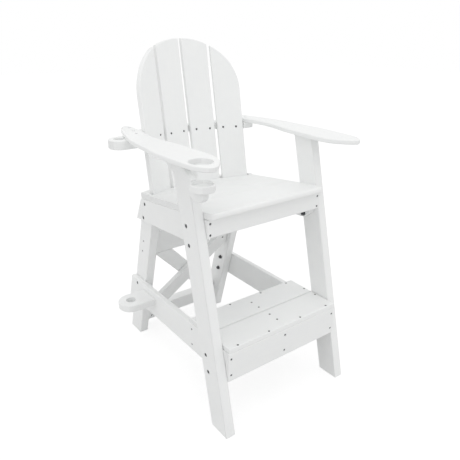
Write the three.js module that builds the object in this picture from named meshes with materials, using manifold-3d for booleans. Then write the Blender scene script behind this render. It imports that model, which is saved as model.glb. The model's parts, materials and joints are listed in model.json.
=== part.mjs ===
// A tall outdoor chair for a lifeguard, cut from white recycled plastic boards and bolted together.
// Two splayed legs on each side carry a raised seat, one step, two wide arms and a dished fan back.
// The sitter's right arm has a cup holder and both parts of an umbrella holder.
//
// Sizes are in millimetres. X runs to the sitter's left, Y from the front to the rear, Z up.
// While it is built, X is 0 in the middle of the seat, Y is 0 at the front of the front feet
// and Z is 0 on the ground. The finished chair stands with its bounding box centred on the Z axis.
import * as THREE from "three";
import { mergeVertices } from "three/addons/utils/BufferGeometryUtils.js";
import Module from "manifold-3d";

const wasm = await Module();
wasm.setup();

// Boards
const HEAVY = 38; // thickness of the leg boards
const LIGHT = 22; // thickness of the rails and seat boards
const LEG_WIDTH = 85;
const EASE = 2.5; // chamfer on the edges of a board
const GAP = 0.3; // clearance between pieces that fit round each other
const OVERRUN = 60; // how far a cutting shape runs past what it cuts

// Legs
const SEAT_HALF = 252; // from the middle to the outer faces of the side rails
const FRONT_LEAN = 13.4; // degrees, tops towards the rear
const REAR_LEAN = 16; // degrees, tops towards the front
const REAR_FOOT = 744; // from the front edge of the front foot to that of the rear foot
const REAR_LEG_DROP = 4; // from the underside of the seat down to the tops of the rear legs

// Lower frame and step
const STEP_FACE = 41; // front of the step
const STEP_UNDERSIDE = 192;
const STEP_RAIL_HEIGHT = 112;
const PLANK_THICK = 20;
const PLANK_WIDTH = 117;
const PLANK_JOINT = 3;
const PLANK_INSET = 2; // from the outer faces of the rails to the ends of the planks

// Seat
const SEAT_FACE = 158; // front of the board under the seat's front edge
const SEAT_HEIGHT = 741; // underside of the seat above that face
const SEAT_PITCH = 6.6; // degrees, falling to the rear
const SEAT_APRON_HEIGHT = 63;
const SEAT_RAIL_FRONT_DEPTH = 112;
const SEAT_RAIL_REAR_DEPTH = 104;
const SEAT_RAIL_PAST_LEG = 84.5; // top rear corners, behind the rear legs' edges at the seat's height
const SEAT_RAIL_END_LEAN = 25.3; // degrees
const SEAT_RAIL_NOSE_LENGTH = 33; // the corner cut off below the seat's front board
const SEAT_RAIL_NOSE_HEIGHT = 27;
const SEAT_OVERHANG = 25;
const SEAT_NOSE_RADIUS = 9;
const SEAT_CORNER_RADIUS = 28;
const FRONT_BOARD_WIDTH = 184;
const MIDDLE_BOARD_WIDTH = 88;
const REAR_BOARD_WIDTH = 114;
const SEAT_JOINT = 1;
const SEAT_EASE = 1;

// Back
const BACK_FACE = 651.5; // front of the back, in the middle, at the height of the mark below
const BACK_MARK_RISE = 205; // from the seat's height
const BACK_LEAN = 9.8; // degrees
const BACK_INSET = 15.4; // from half the seat's width to half the back's, along its slats
const SLAT_THICK = 20;
const SLAT_JOINT = 12;
const INNER_TURN = 7.6; // degrees, outer edges towards the sitter
const OUTER_TURN = 22.3; // degrees
const SLAT_BELOW_MARK = 250;
const ARCH_START = 118; // from the mark up to where the outer edges begin to curve
const ARCH_RISE = 207;
const UPPER_RAIL_THICK = 26;
const UPPER_RAIL_WIDTH = 114;
const UPPER_RAIL_FRONT = 591;
const UPPER_RAIL_REACH = 30; // past the outer faces of the side rails
const UPPER_RAIL_CORNER = 36; // cut off its rear corners, each way
const LOWER_RAIL_THICK = 26;
const LOWER_RAIL_WIDTH = 44;

// Arms
const ARM_CLEAR = 186.5; // from the seat's height up to the arms' undersides at the front tips
const ARM_RISE = 0.8; // degrees, rising to the rear
const ARM_THICK = 16;
const ARM_PAST_RAIL = 129; // from the front of the upper back rail to the rear tips
const ARM_LENGTH = 673;
const ARM_INSET = 25; // from the outer faces of the side rails in to the arms' inner edges
const ARM_WIDTH = 131;
const ARM_EDGE_STEPS = 96;
// Each point is a share of the arm's length from its front, and of its width from its inner edge.
const ARM_EDGE_SHARES = [
  [0, 0.595], [0.015, 0.73], [0.04, 0.825], [0.07, 0.9], [0.149, 0.954], [0.272, 0.995], [0.358, 1],
  [0.46, 0.95], [0.606, 0.9], [0.673, 0.85], [0.79, 0.687], [0.869, 0.565], [0.936, 0.44], [0.982, 0.31],
  [1, 0.19], [0.99, 0.09], [0.955, 0.055], [0.837, 0.07], [0.792, 0.11], [0.703, 0.19], [0.615, 0.2],
  [0.533, 0.15], [0.47, 0.09], [0.376, 0.05], [0.25, 0.02], [0.18, 0.005], [0.126, 0.04], [0.083, 0.122],
  [0.048, 0.267], [0.015, 0.43],
];

// Cup holder
const CUP_OUT = 49; // from the outer faces of the side rails out to the middle of the arm's hole
const CUP_SETBACK = 71; // from the arm's front tip
const CUP_HOLE_RADIUS = 38;
const PLATE_SHIFT = 3.5; // of the plate, inwards and forwards from under the hole
const PLATE_RADIUS = 39;
const PLATE_RIM = 6;
const PLATE_THICK = 23;
const PLATE_FLOOR = 12;
const PLATE_DROP = 47.5; // from the arm's underside at its front tip
const STRUT_SLOPE = 29.4; // degrees
const STRUT_WIDTH = 54;
const STRUT_REACH = 25; // from the middle of the arm's hole forward to the strut's tip
const STRUT_SHOULDER = 10; // forward to where its sloping top would meet the underside of the plate
const STRUT_TOE_LENGTH = 50;
const STRUT_TOE_SHARE = 0.2; // of the toe's length, to the point that pulls its curve forward
const STRUT_TIP = 18; // height of the flat end under the plate

// Umbrella holder
const TAB_OUT = 83; // from the outer faces of the side rails out to the middle of the pole
const TAB_AHEAD = 1; // from the front of the upper back rail forward to the middle of the pole
const POLE_RADIUS = 19.5;
const RING_WIDTH = 84;
const RING_THICK = 33;
const RING_REACH = 38; // from the middle of the pole out to the ring's end
const RING_INSET = 13; // from the outer faces of the side rails in to the ring's end
const SOCKET_WIDTH = 102;
const SOCKET_THICK = 30;
const SOCKET_REACH = 50;
const SOCKET_TOP = 280;
const SOCKET_DEPTH = 20;

// Rear bracing, measured in the plane of the rear legs
const BRACE_PLANE = 41; // from the front edges of the legs to the front of the cross rails
const UPPER_CROSS_FOOT = 416;
const UPPER_CROSS_WIDTH = 114;
const LOWER_CROSS_FOOT = 17;
const LOWER_CROSS_WIDTH = 75;
const FRONT_BRACE_WIDTH = 70;
const FRONT_BRACE_SLOPE = 43; // degrees
const FRONT_BRACE_CENTRE = 262;
const REAR_BRACE_WIDTH = 62;
const REAR_BRACE_SLOPE = 47; // degrees
const REAR_BRACE_CENTRE = 274;

// Bolts and screws
const BOLT_RADIUS = 4;
const BOLT_HEAD_RADIUS = 6.5;
const BOLT_HEAD = 5;
const BOLT_SUNK = 6; // depth of the counterbore
const BOLT_TAIL = 2.5; // past the nut
const WASHER_RADIUS = 9;
const WASHER_THICK = 1.6;
const NUT_RADIUS = 7.5;
const NUT_THICK = 6.5;
const FRONT_BOLT_SETBACK = 58; // from the front edge of a front leg
const REAR_BOLT_SETBACK = 34; // from the front edge of a rear leg
const FRONT_STEP_BOLT_RISES = [19, 80]; // from the underside of the step
const REAR_STEP_BOLT_RISES = [29, 93];
const FRONT_SEAT_BOLT_DROPS = [97, 33]; // from the seat's height
const REAR_SEAT_BOLT_DROPS = [128, 68];
const SCREW_RADIUS = 2.4;
const SCREW_HEAD_RADIUS = 4.5;
const SCREW_HEAD = 3;
const SCREW_SUNK = 1;
const SCREW_LENGTH = 36;
const ARM_SCREW_ACROSS = [21, 35, 47]; // from the arms' inner edges
const ARM_SCREW_SETBACKS = [88, 25, -20]; // from the front of the upper back rail
const ARM_SCREW_COUNTS = { right: 3, left: 2 }; // the third holds the umbrella ring

// Smoothness of round shapes
const ARC_STEPS = 8; // for a quarter turn
const ARCH_STEPS = 16; // for the top of a slat
const BOLT_SIDES = 10;
const NUT_SIDES = 6;
const PLATE_SIDES = 40;
const HOLE_SIDES = 28;

const radians = THREE.MathUtils.degToRad;
const tangent = (degrees) => Math.tan(radians(degrees));
const cosine = (degrees) => Math.cos(radians(degrees));
const sine = (degrees) => Math.sin(radians(degrees));

const X = new THREE.Vector3(1, 0, 0);
const Y = new THREE.Vector3(0, 1, 0);
const Z = new THREE.Vector3(0, 0, 1);
// Frames for outlines: one drawn on a board's side and thickened along X, one drawn on its face.
const ON_SIDE = new THREE.Matrix4().makeBasis(Y, Z, X);
const ON_FACE = new THREE.Matrix4().makeBasis(X, Z, Y.clone().negate());

const plastic = new THREE.MeshStandardMaterial({ color: 0xf1f2f1, roughness: 0.55, metalness: 0 });
const steel = new THREE.MeshStandardMaterial({ color: 0x6d6f72, roughness: 0.35, metalness: 1 });

// Shapes

function outline(points) {
  return new THREE.Shape(points.map(([a, b]) => new THREE.Vector2(a, b)));
}

function box(a0, b0, a1, b1) {
  return outline([[a0, b0], [a1, b0], [a1, b1], [a0, b1]]);
}

// An outline thickened to a board whose edges are chamfered.
function board(shape, thick, ease = EASE) {
  const geometry = new THREE.ExtrudeGeometry(shape, {
    depth: thick - ease - ease,
    bevelEnabled: ease > 0,
    bevelThickness: ease,
    bevelSize: ease,
    bevelOffset: -ease,
    bevelSegments: 1,
    curveSegments: ARC_STEPS,
  });
  return geometry.translate(0, 0, ease);
}

// A board drawn as seen from the side, thickened along X from one place to another.
function sideBoard(points, from, thick, ease = EASE) {
  return solid(board(outline(points), thick, ease).applyMatrix4(ON_SIDE).translate(from, 0, 0));
}

// A board drawn as seen from the front, with its front face at the given place.
function faceBoard(shape, front, thick) {
  return board(shape, thick).applyMatrix4(ON_FACE).translate(0, front + thick, 0);
}

function flatBoard(shape, foot, thick, ease = EASE) {
  return board(shape, thick, ease).translate(0, 0, foot);
}

// Solids

function solid(geometry) {
  const bare = geometry.clone();
  bare.deleteAttribute("normal");
  bare.deleteAttribute("uv");
  const merged = mergeVertices(bare);
  return new wasm.Manifold(new wasm.Mesh({
    numProp: 3,
    vertProperties: merged.attributes.position.array,
    triVerts: new Uint32Array(merged.index.array),
  }));
}

// A mesh with its own middle as its origin, put back where the solid was.
function piece(name, made, material = plastic) {
  const { vertProperties, triVerts } = made.getMesh();
  const geometry = new THREE.BufferGeometry();
  geometry.setAttribute("position", new THREE.BufferAttribute(new Float32Array(vertProperties), 3));
  geometry.setIndex(new THREE.BufferAttribute(new Uint32Array(triVerts), 1));
  geometry.computeBoundingBox();
  const middle = geometry.boundingBox.getCenter(new THREE.Vector3()).round();
  geometry.translate(-middle.x, -middle.y, -middle.z);
  const faceted = geometry.toNonIndexed();
  faceted.computeVertexNormals();
  const mesh = new THREE.Mesh(faceted, material);
  mesh.name = name;
  mesh.position.copy(middle);
  return mesh;
}

// A round solid along +Z from a list of radii and heights that starts and ends on the axis.
function turned(profile, sides) {
  const points = profile.map(([radius, height]) => new THREE.Vector2(radius, height));
  return new THREE.LatheGeometry(points, sides).rotateX(radians(90));
}

function rod(radius, from, to, sides) {
  return turned([[0, from], [radius, from], [radius, to], [0, to]], sides);
}

const SIDES = { right: -1, left: 1 }; // as the sitter has them

// From an inner face out to the board's lower X, for a board that lies outside that face.
const outside = (side, face, thick) => (side > 0 ? face : -face - thick);
const inside = (side, face, thick) => (side > 0 ? face - thick : -face);

// Places that several pieces share
const railInner = SEAT_HALF - LIGHT;
const frontEdge = (height) => height * tangent(FRONT_LEAN);
const rearEdge = (height) => REAR_FOOT - height * tangent(REAR_LEAN);
const seatUnderside = (along) => SEAT_HEIGHT - (along - SEAT_FACE) * tangent(SEAT_PITCH);
const backMark = SEAT_HEIGHT + BACK_MARK_RISE;
const slatWidth = (SEAT_HALF - BACK_INSET - SLAT_JOINT - SLAT_JOINT / 2) / 2;
const armFoot = SEAT_HEIGHT + ARM_CLEAR;
const armFront = UPPER_RAIL_FRONT + ARM_PAST_RAIL - ARM_LENGTH;
const armInner = SEAT_HALF - ARM_INSET;
const armUnderside = (along) => armFoot + (along - armFront) * tangent(ARM_RISE);
const stepTop = STEP_UNDERSIDE + STEP_RAIL_HEIGHT;
const cupAcross = SEAT_HALF + CUP_OUT;
const cupAlong = armFront + CUP_SETBACK;
const plateAcross = cupAcross - PLATE_SHIFT;
const plateAlong = cupAlong - PLATE_SHIFT;
const plateTop = armFoot - PLATE_DROP;
const plateFoot = plateTop - PLATE_THICK;
const poleAcross = SEAT_HALF + TAB_OUT;
const poleAlong = UPPER_RAIL_FRONT - TAB_AHEAD;

// Frames of the leaning parts
const seatFrame = new THREE.Matrix4()
  .makeTranslation(0, SEAT_FACE, SEAT_HEIGHT)
  .multiply(new THREE.Matrix4().makeRotationX(-radians(SEAT_PITCH)));
const backFrame = new THREE.Matrix4()
  .makeTranslation(0, BACK_FACE, backMark)
  .multiply(new THREE.Matrix4().makeRotationX(-radians(BACK_LEAN)));
const armFrame = new THREE.Matrix4()
  .makeTranslation(0, armFront, armFoot)
  .multiply(new THREE.Matrix4().makeRotationX(radians(ARM_RISE)));
const rearFrame = new THREE.Matrix4()
  .makeTranslation(0, REAR_FOOT, 0)
  .multiply(new THREE.Matrix4().makeRotationX(radians(REAR_LEAN)));

// Bolts

// The heights of the bolts through a leg, from the lowest up.
const boltHeights = (rises, drops) => [
  ...rises.map((rise) => STEP_UNDERSIDE + rise),
  ...drops.map((drop) => SEAT_HEIGHT - drop),
];
// The bolts through each leg, as how far along they are and how high.
const boltRows = {
  front: boltHeights(FRONT_STEP_BOLT_RISES, FRONT_SEAT_BOLT_DROPS)
    .map((height) => [frontEdge(height) + FRONT_BOLT_SETBACK, height]),
  rear: boltHeights(REAR_STEP_BOLT_RISES, REAR_SEAT_BOLT_DROPS)
    .map((height) => [rearEdge(height) + REAR_BOLT_SETBACK, height]),
};
// The outer face that the heads are sunk into, and the inner face that the nuts lie on.
const boltFaces = {
  front: [SEAT_HALF + HEAVY, railInner],
  rear: [SEAT_HALF, railInner - HEAVY],
};

// Turns a round solid that runs along +Z to run from a side of the chair to its middle.
function crosswise(geometry, side, face, along, height) {
  return geometry.rotateY(-side * radians(90)).translate(side * face, along, height);
}

function bolt(side, row, [along, height]) {
  const [outer, inner] = boltFaces[row];
  const grip = outer - inner;
  const seatOfHead = BOLT_SUNK - GAP;
  const washer = grip + GAP;
  const nut = washer + WASHER_THICK;
  const end = nut + NUT_THICK + BOLT_TAIL;
  const body = turned([
    [0, seatOfHead - BOLT_HEAD], [BOLT_HEAD_RADIUS, seatOfHead - BOLT_HEAD], [BOLT_HEAD_RADIUS, seatOfHead],
    [BOLT_RADIUS, seatOfHead], [BOLT_RADIUS, washer], [WASHER_RADIUS, washer], [WASHER_RADIUS, nut],
    [BOLT_RADIUS, nut], [BOLT_RADIUS, end], [0, end],
  ], BOLT_SIDES);
  const hexagon = rod(NUT_RADIUS, nut - WASHER_THICK / 2, nut + NUT_THICK, NUT_SIDES);
  const place = (geometry) => solid(crosswise(geometry, side, outer, along, height));
  return place(body).add(place(hexagon));
}

// The counterbore and the hole of one bolt.
function boltHole(side, row, [along, height]) {
  const [outer, inner] = boltFaces[row];
  const grip = outer - inner;
  const hole = turned([
    [0, -OVERRUN], [BOLT_HEAD_RADIUS + GAP, -OVERRUN], [BOLT_HEAD_RADIUS + GAP, BOLT_SUNK],
    [BOLT_RADIUS + GAP, BOLT_SUNK], [BOLT_RADIUS + GAP, grip + OVERRUN], [0, grip + OVERRUN],
  ], BOLT_SIDES);
  return solid(crosswise(hole, side, outer, along, height));
}

function drilled(made, side, row) {
  return boltRows[row].reduce((rest, place) => rest.subtract(boltHole(side, row, place)), made);
}

function bolts() {
  const made = [];
  for (const [sideName, side] of Object.entries(SIDES)) {
    for (const row of ["front", "rear"]) {
      boltRows[row].forEach((place, index) => {
        made.push(piece(`${row}_leg_bolt_${sideName}_${index + 1}`, bolt(side, row, place), steel));
      });
    }
  }
  return made;
}

// Legs and side rails

// A leg's long edges are chamfered and its sawn ends are sharp. Its foot runs between two places
// on the ground, and a function gives where a line from any such place ends at the top.
function leg(front, rear, topOver, from) {
  const beyond = (start, end) => {
    const tip = new THREE.Vector2(...end);
    return tip.clone().sub(new THREE.Vector2(...start)).setLength(OVERRUN).add(tip).toArray();
  };
  const [footFront, footRear] = [[front, 0], [rear, 0]];
  const [topFront, topRear] = [topOver(front), topOver(rear)];
  const long = [
    beyond(topFront, footFront), beyond(topRear, footRear),
    beyond(footRear, topRear), beyond(footFront, topFront),
  ];
  const sawn = [
    [front - OVERRUN, 0], [rear + OVERRUN, 0], topOver(rear + OVERRUN), topOver(front - OVERRUN),
  ];
  const cut = sideBoard(sawn, from - OVERRUN, HEAVY + OVERRUN + OVERRUN, 0);
  return sideBoard(long, from, HEAVY).intersect(cut);
}

// Where a line that leans like the front legs meets the underside of the arms.
function frontLegTop(foot) {
  const height = armUnderside(foot) / (1 - tangent(ARM_RISE) * tangent(FRONT_LEAN));
  return [foot + height * tangent(FRONT_LEAN), height];
}

function frontLeg(side) {
  const width = LEG_WIDTH / cosine(FRONT_LEAN);
  return drilled(leg(0, width, frontLegTop, outside(side, SEAT_HALF, HEAVY)), side, "front");
}

// Where a line that leans like the rear legs meets the sloping tops of the rear legs.
function rearLegTop(foot) {
  const ceiling = seatUnderside(foot) - REAR_LEG_DROP;
  const height = ceiling / (1 - tangent(SEAT_PITCH) * tangent(REAR_LEAN));
  return [foot - height * tangent(REAR_LEAN), height];
}

function rearLeg(side) {
  const width = LEG_WIDTH / cosine(REAR_LEAN);
  return drilled(leg(REAR_FOOT, REAR_FOOT + width, rearLegTop, inside(side, railInner, HEAVY)), side, "rear");
}

function lowerSideRail(side) {
  const front = STEP_FACE + LIGHT;
  const width = LEG_WIDTH / cosine(REAR_LEAN);
  const points = [
    [front, STEP_UNDERSIDE], [rearEdge(STEP_UNDERSIDE) + width, STEP_UNDERSIDE],
    [rearEdge(stepTop) + width, stepTop], [front, stepTop],
  ];
  const rail = sideBoard(points, inside(side, SEAT_HALF, LIGHT), LIGHT);
  return drilled(drilled(rail, side, "front"), side, "rear");
}

function seatRail(side) {
  const front = SEAT_FACE + LIGHT;
  const foot = SEAT_HEIGHT - SEAT_RAIL_FRONT_DEPTH;
  const end = rearEdge(SEAT_HEIGHT) + SEAT_RAIL_PAST_LEG;
  const rearTop = seatUnderside(end);
  const points = [
    [front, foot + SEAT_RAIL_NOSE_HEIGHT],
    [front + SEAT_RAIL_NOSE_LENGTH, foot],
    [end + SEAT_RAIL_REAR_DEPTH * sine(SEAT_RAIL_END_LEAN),
      rearTop - SEAT_RAIL_REAR_DEPTH * cosine(SEAT_RAIL_END_LEAN)],
    [end, rearTop],
    [front, seatUnderside(front)],
  ];
  const rail = sideBoard(points, inside(side, SEAT_HALF, LIGHT), LIGHT);
  return drilled(drilled(rail, side, "front"), side, "rear");
}

function sideFrames() {
  return Object.entries(SIDES).flatMap(([name, side]) => [
    piece(`front_leg_${name}`, frontLeg(side)),
    piece(`rear_leg_${name}`, rearLeg(side)),
    piece(`lower_side_rail_${name}`, lowerSideRail(side)),
    piece(`seat_rail_${name}`, seatRail(side)),
  ]);
}

// Step

function stepPlank(front) {
  const half = SEAT_HALF - PLANK_INSET;
  return solid(flatBoard(box(-half, front, half, front + PLANK_WIDTH), stepTop, PLANK_THICK));
}

function step() {
  const rearPlank = STEP_FACE + PLANK_WIDTH + PLANK_JOINT;
  const rearRail = rearPlank + PLANK_WIDTH - LIGHT;
  const cleatFront = STEP_FACE + LIGHT;
  const cleat = [
    [cleatFront, STEP_UNDERSIDE], [rearRail, STEP_UNDERSIDE],
    [rearRail, stepTop], [cleatFront, stepTop],
  ];
  const across = (half) => box(-half, STEP_UNDERSIDE, half, stepTop);
  return [
    piece("step_apron", solid(faceBoard(across(SEAT_HALF), STEP_FACE, LIGHT))),
    piece("step_rear_rail", solid(faceBoard(across(railInner), rearRail, LIGHT))),
    piece("step_centre_cleat", sideBoard(cleat, -LIGHT / 2, LIGHT)),
    piece("step_plank_front", stepPlank(STEP_FACE)),
    piece("step_plank_rear", stepPlank(rearPlank)),
  ];
}

// Seat

// A seat board with square ends, between two places along the slope of the seat.
function seatBoard(from, width) {
  const made = flatBoard(box(-SEAT_HALF, from, SEAT_HALF, from + width), GAP, LIGHT, SEAT_EASE);
  return solid(made.applyMatrix4(seatFrame));
}

// The front board has a rounded nose and rounded front corners.
function seatFrontBoard() {
  const front = -SEAT_OVERHANG;
  const rear = front + FRONT_BOARD_WIDTH;
  const top = GAP + LIGHT;
  const nose = front + SEAT_NOSE_RADIUS;
  const profile = new THREE.Shape();
  profile.moveTo(front, GAP + SEAT_NOSE_RADIUS);
  profile.absarc(nose, GAP + SEAT_NOSE_RADIUS, SEAT_NOSE_RADIUS, radians(180), radians(270));
  profile.lineTo(rear, GAP);
  profile.lineTo(rear, top - SEAT_EASE);
  profile.lineTo(rear - SEAT_EASE, top);
  profile.lineTo(nose, top);
  profile.absarc(nose, top - SEAT_NOSE_RADIUS, SEAT_NOSE_RADIUS, radians(90), radians(180));
  const long = board(profile, SEAT_HALF + SEAT_HALF, SEAT_EASE)
    .applyMatrix4(ON_SIDE).translate(-SEAT_HALF, 0, 0);
  const plan = new THREE.Shape();
  const corner = SEAT_HALF - SEAT_CORNER_RADIUS;
  plan.moveTo(SEAT_HALF, rear + OVERRUN);
  plan.lineTo(-SEAT_HALF, rear + OVERRUN);
  plan.absarc(-corner, front + SEAT_CORNER_RADIUS, SEAT_CORNER_RADIUS, radians(180), radians(270));
  plan.absarc(corner, front + SEAT_CORNER_RADIUS, SEAT_CORNER_RADIUS, radians(270), radians(360));
  const rounded = flatBoard(plan, -OVERRUN, OVERRUN + OVERRUN + LIGHT, 0);
  return solid(long.applyMatrix4(seatFrame)).intersect(solid(rounded.applyMatrix4(seatFrame)));
}

function seat() {
  const second = FRONT_BOARD_WIDTH - SEAT_OVERHANG + SEAT_JOINT;
  const third = second + MIDDLE_BOARD_WIDTH + SEAT_JOINT;
  const fourth = third + REAR_BOARD_WIDTH + SEAT_JOINT;
  const lastBoard = seatBoard(fourth, REAR_BOARD_WIDTH);
  const apronFoot = seatUnderside(SEAT_FACE + LIGHT) - SEAT_APRON_HEIGHT;
  const apron = box(-SEAT_HALF, apronFoot, SEAT_HALF, apronFoot + SEAT_APRON_HEIGHT);
  return [
    piece("seat_apron", solid(faceBoard(apron, SEAT_FACE, LIGHT))),
    piece("seat_board_front", seatFrontBoard()),
    piece("seat_board_second", seatBoard(second, MIDDLE_BOARD_WIDTH)),
    piece("seat_board_third", seatBoard(third, REAR_BOARD_WIDTH)),
    piece("seat_board_rear", lastBoard.subtract(behindBack())),
  ];
}

// Back

// Where each slat of one side begins and which way it runs, seen along the slats from above.
function slatPlaces(side) {
  const places = [];
  let across = SLAT_JOINT / 2;
  let along = 0;
  let spread = across;
  [INNER_TURN, OUTER_TURN].forEach((turn, index) => {
    if (index > 0) {
      const bend = (INNER_TURN + OUTER_TURN) / 2;
      across += SLAT_JOINT * cosine(bend);
      along -= SLAT_JOINT * sine(bend);
      spread += SLAT_JOINT;
    }
    places.push({ across: side * across, along, turn: side * turn, spread });
    across += slatWidth * cosine(turn);
    along -= slatWidth * sine(turn);
    spread += slatWidth;
  });
  return places;
}

// A slat whose top follows an ellipse over the distance from the middle, measured along the slats.
function slat(side, { across, along, turn, spread }) {
  const half = SLAT_JOINT / 2 + slatWidth + SLAT_JOINT + slatWidth;
  const first = Math.acos(Math.min((spread + slatWidth) / half, 1));
  const last = Math.acos(spread / half);
  const points = [[0, -SLAT_BELOW_MARK], [side * slatWidth, -SLAT_BELOW_MARK]];
  for (let i = 0; i <= ARCH_STEPS; i += 1) {
    const angle = first + ((last - first) * i) / ARCH_STEPS;
    points.push([side * (half * Math.cos(angle) - spread), ARCH_START + ARCH_RISE * Math.sin(angle)]);
  }
  const made = faceBoard(outline(points), 0, SLAT_THICK);
  made.rotateZ(-radians(turn)).translate(across, along, 0);
  return solid(made.applyMatrix4(backFrame));
}

// The dished line of the back, seen along the slats, set back by some distance.
function dish(setBack) {
  const halves = Object.values(SIDES).map((side) => slatPlaces(side).flatMap(({ across, along, turn }) => {
    const toRear = [setBack * sine(turn), setBack * cosine(turn)];
    const start = [across + toRear[0], along + toRear[1]];
    const end = [start[0] + side * slatWidth * cosine(turn), start[1] - slatWidth * Math.abs(sine(turn))];
    return [start, end];
  }));
  return [...halves[0].reverse(), ...halves[1]];
}

// Everything behind the front faces of the slats.
function behindBack() {
  const line = dish(-GAP);
  const [, outerAlong] = line[0];
  const wide = SEAT_HALF + OVERRUN;
  const far = SEAT_HALF;
  const points = [[-wide, outerAlong], ...line, [wide, outerAlong], [wide, far], [-wide, far]];
  const tall = backMark;
  return solid(flatBoard(outline(points), -tall, tall, 0).applyMatrix4(backFrame));
}

// Everything in front of the rear faces of the slats and, beside them, of their outer edges.
function beforeBack() {
  const line = dish(SLAT_THICK + GAP);
  const [across, along] = line[0];
  const [, outerAlong] = dish(0)[0];
  const edge = across - GAP;
  const wide = SEAT_HALF + OVERRUN;
  const far = -SEAT_HALF;
  const points = [
    [-wide, far], [-wide, outerAlong], [edge, outerAlong], [edge, along], ...line,
    [-edge, along], [-edge, outerAlong], [wide, outerAlong], [wide, far],
  ];
  const tall = backMark;
  return solid(flatBoard(outline(points), -tall, tall + OVERRUN, 0).applyMatrix4(backFrame));
}

function upperBackRail() {
  const front = UPPER_RAIL_FRONT - armFront;
  const rear = front + UPPER_RAIL_WIDTH;
  const half = SEAT_HALF + UPPER_RAIL_REACH;
  const narrow = half - UPPER_RAIL_CORNER;
  const plan = outline([
    [-half, front], [half, front], [half, rear - UPPER_RAIL_CORNER],
    [narrow, rear], [-narrow, rear], [-half, rear - UPPER_RAIL_CORNER],
  ]);
  const notchRear = front - TAB_AHEAD + RING_WIDTH / 2 + GAP;
  const notch = box(-half - OVERRUN, front - OVERRUN, GAP - SEAT_HALF + RING_INSET, notchRear);
  const cut = flatBoard(notch, -UPPER_RAIL_THICK - OVERRUN, UPPER_RAIL_THICK + OVERRUN + OVERRUN, 0);
  const rail = flatBoard(plan, -UPPER_RAIL_THICK, UPPER_RAIL_THICK);
  return solid(rail.applyMatrix4(armFrame))
    .subtract(beforeBack())
    .subtract(solid(cut.applyMatrix4(armFrame)));
}

// A curved rail that lies on the seat rails behind the slats, drawn in the frame of the seat.
function lowerBackRail() {
  const rear = dish(SLAT_THICK + GAP + LOWER_RAIL_WIDTH);
  const toSeat = (BACK_FACE - (backMark - seatUnderside(BACK_FACE)) * tangent(BACK_LEAN) - SEAT_FACE)
    / cosine(SEAT_PITCH);
  const [outer, inner] = rear;
  const fall = (inner[1] - outer[1]) / (inner[0] - outer[0]);
  const end = outer[1] + (-SEAT_HALF - outer[0]) * fall + toSeat;
  const front = end - LOWER_RAIL_WIDTH - OVERRUN;
  const points = [
    [-SEAT_HALF, front], [-SEAT_HALF, end], ...rear.slice(1, -1).map(([a, b]) => [a, b + toSeat]),
    [SEAT_HALF, end], [SEAT_HALF, front],
  ];
  const made = flatBoard(outline(points), GAP, LOWER_RAIL_THICK).applyMatrix4(seatFrame);
  return solid(made).subtract(beforeBack());
}

function back() {
  const slats = Object.entries(SIDES).flatMap(([name, side]) => {
    const [inner, outer] = slatPlaces(side);
    return [
      piece(`back_slat_inner_${name}`, slat(side, inner)),
      piece(`back_slat_outer_${name}`, slat(side, outer)),
    ];
  });
  return [
    ...slats,
    piece("upper_back_rail", screwed(upperBackRail())),
    piece("lower_back_rail", lowerBackRail()),
  ];
}

// Arms

function armOutline(side) {
  const corners = ARM_EDGE_SHARES.map(([along, across]) => (
    new THREE.Vector3(side * (armInner + across * ARM_WIDTH), along * ARM_LENGTH, 0)
  ));
  const edge = new THREE.CatmullRomCurve3(corners, true, "centripetal");
  return outline(edge.getSpacedPoints(ARM_EDGE_STEPS).slice(1).map(({ x, y }) => [x, y]));
}

// One screw of an arm, or the hole that it needs, which is wider and runs up through the arm's top.
function armScrew(side, index, grow, above) {
  const neck = SCREW_SUNK + SCREW_HEAD;
  const made = turned([
    [0, -SCREW_LENGTH - grow], [SCREW_RADIUS + grow, -SCREW_LENGTH - grow], [SCREW_RADIUS + grow, -neck],
    [SCREW_HEAD_RADIUS + grow, -SCREW_SUNK], [SCREW_HEAD_RADIUS + grow, above], [0, above],
  ], BOLT_SIDES);
  const along = UPPER_RAIL_FRONT - armFront + ARM_SCREW_SETBACKS[index];
  made.translate(side * (armInner + ARM_SCREW_ACROSS[index]), along, ARM_THICK + GAP);
  return solid(made.applyMatrix4(armFrame));
}

// Each arm screw as its side's name, its side and its place in the lists.
const armScrews = Object.entries(SIDES).flatMap(([name, side]) => (
  Array.from({ length: ARM_SCREW_COUNTS[name] }, (_, index) => [name, side, index])
));

function screwed(made) {
  const hole = ([, side, index]) => armScrew(side, index, GAP, OVERRUN);
  return armScrews.reduce((rest, screw) => rest.subtract(hole(screw)), made);
}

function arm(side) {
  const made = solid(flatBoard(armOutline(side), GAP, ARM_THICK).applyMatrix4(armFrame));
  if (side > 0) return made;
  const hole = rod(CUP_HOLE_RADIUS, armFoot - OVERRUN, armFoot + OVERRUN, PLATE_SIDES);
  return made.subtract(solid(hole.translate(-cupAcross, cupAlong, 0)));
}

function arms() {
  return [
    ...Object.entries(SIDES).map(([name, side]) => piece(`arm_${name}`, screwed(arm(side)))),
    ...armScrews.map(([name, side, index]) => (
      piece(`arm_screw_${name}_${index + 1}`, armScrew(side, index, 0, -SCREW_SUNK / 2), steel)
    )),
  ];
}

// Cup holder

function cupPlate() {
  const made = turned([
    [0, 0], [PLATE_RADIUS - EASE, 0], [PLATE_RADIUS, EASE], [PLATE_RADIUS, PLATE_THICK - EASE],
    [PLATE_RADIUS - EASE, PLATE_THICK], [PLATE_RADIUS - PLATE_RIM, PLATE_THICK],
    [PLATE_RADIUS - PLATE_RIM, PLATE_FLOOR], [0, PLATE_FLOOR],
  ], PLATE_SIDES);
  return solid(made.translate(-plateAcross, plateAlong, plateFoot));
}

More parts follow.
